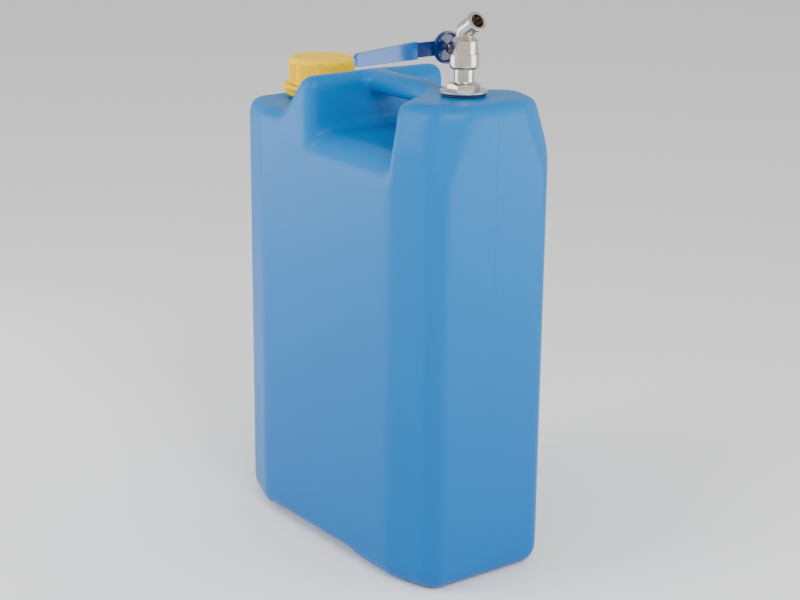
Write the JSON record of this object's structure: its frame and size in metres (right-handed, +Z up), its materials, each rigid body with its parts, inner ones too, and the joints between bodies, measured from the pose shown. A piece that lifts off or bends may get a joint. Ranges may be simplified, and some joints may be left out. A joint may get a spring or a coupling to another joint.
{
  "type": "water container",
  "caption": "Upright blue plastic water canister with a carrying handle, a screw cap at the rear and a small lever ball valve on top of its front block.",
  "frame": {"origin": "middle of the flat underside that the canister stands on", "axes": "+X along the canister from the cap to the valve, +Y across it away from the side on which the lever rests, +Z up"},
  "size_m": [0.346, 0.1961, 0.56],
  "materials": {
    "blue_plastic": "smooth",
    "yellow_plastic": "smooth",
    "white_liner": "smooth",
    "black_rubber": "smooth",
    "zinc_steel": "satin",
    "nickel_brass": "satin",
    "chrome_brass": "polished",
    "white_seat": "smooth",
    "blue_vinyl": "smooth",
    "blue_lacquer": "smooth"
  },
  "bodies": {
    "can": {"can_body": "blue_plastic", "tamper_ring": "yellow_plastic", "flange_gasket": "black_rubber", "flange_washer": "zinc_steel", "tank_nipple": "nickel_brass", "inner_gasket": "black_rubber", "inner_lock_nut": "nickel_brass", "valve_end_cap": "nickel_brass", "end_cap_seal": "black_rubber", "valve_body": "nickel_brass", "seat_lower": "white_seat", "seat_upper": "white_seat", "stem_thrust_ring": "white_seat", "stem_packing": "white_seat", "gland_nut": "nickel_brass"},
    "cap_liner": {"cap_seal": "white_liner"},
    "cap": {"filler_cap": "yellow_plastic"},
    "lever_and_ball": {"lever": "blue_lacquer", "lever_sleeve": "blue_vinyl", "lever_nut": "zinc_steel", "lever_lock_washer": "zinc_steel", "stem": "nickel_brass", "ball": "chrome_brass"}
  },
  "joints": [
    {"name": "cap_lift", "type": "slide", "parent": "can", "child": "cap_liner", "axis": [0, 0, 1], "range_m": [0, 0.03]},
    {"name": "cap_turn", "type": "hinge", "parent": "cap_liner", "child": "cap", "pos_m": [-0.121, 0, 0.458], "axis": [0, 0, 1], "range_deg": [0, 1800]},
    {"name": "lever_turn", "type": "hinge", "parent": "can", "child": "lever_and_ball", "pos_m": [0.1195, 0, 0.522], "axis": [-1, 0, 0], "range_deg": [0, 90]}
  ],
  "couplings": [
    {"joint": "cap_lift", "follows": "cap_turn", "m_per_rad": 0.00095493}
  ]
}
